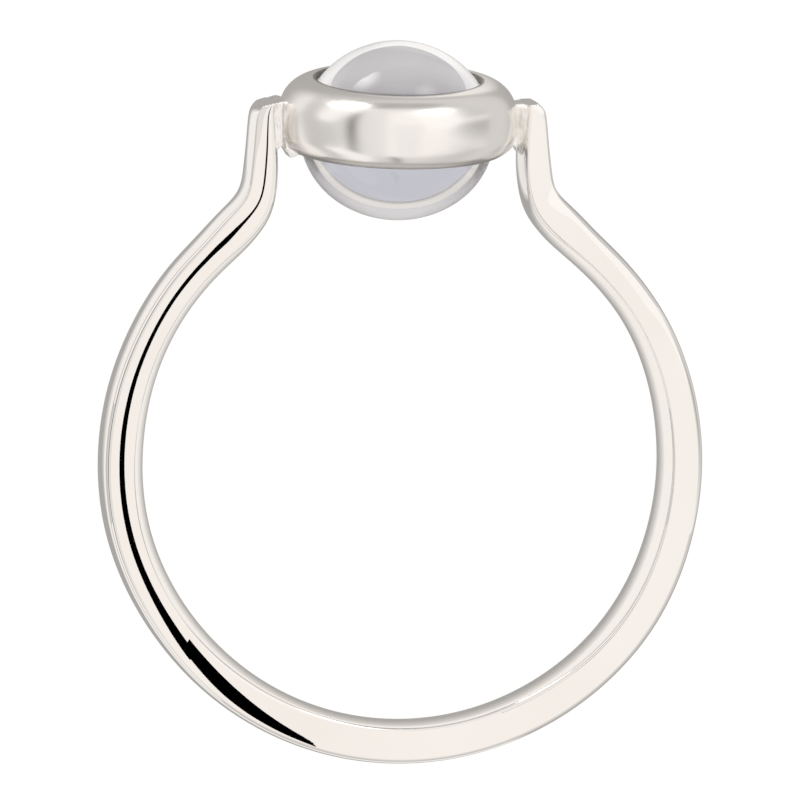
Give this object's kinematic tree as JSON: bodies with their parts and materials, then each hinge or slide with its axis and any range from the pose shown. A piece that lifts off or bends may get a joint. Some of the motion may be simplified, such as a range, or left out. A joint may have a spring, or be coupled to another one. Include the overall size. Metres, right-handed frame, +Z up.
{
  "type": "bezel set crystal ball finger ring",
  "caption": "Slender round finger ring whose two upright shoulders carry an open barrel bezel, with a smooth clear crystal ball held by its middle and domed above and below the bezel.",
  "frame": {"origin": "centre of the bottom of the box around the ring as it lies on its side", "axes": "+X across the ring, +Y from the palm side of the shank towards the stone, +Z up, off the surface that it lies on"},
  "size_m": [0.0194, 0.0232, 0.0076],
  "materials": {
    "white_metal": "hand polished, with a softer satin bezel",
    "clear_crystal": "polished smooth"
  },
  "bodies": {
    "root": {"ring_mount": "white_metal", "rock_crystal": "clear_crystal"}
  },
  "joints": []
}
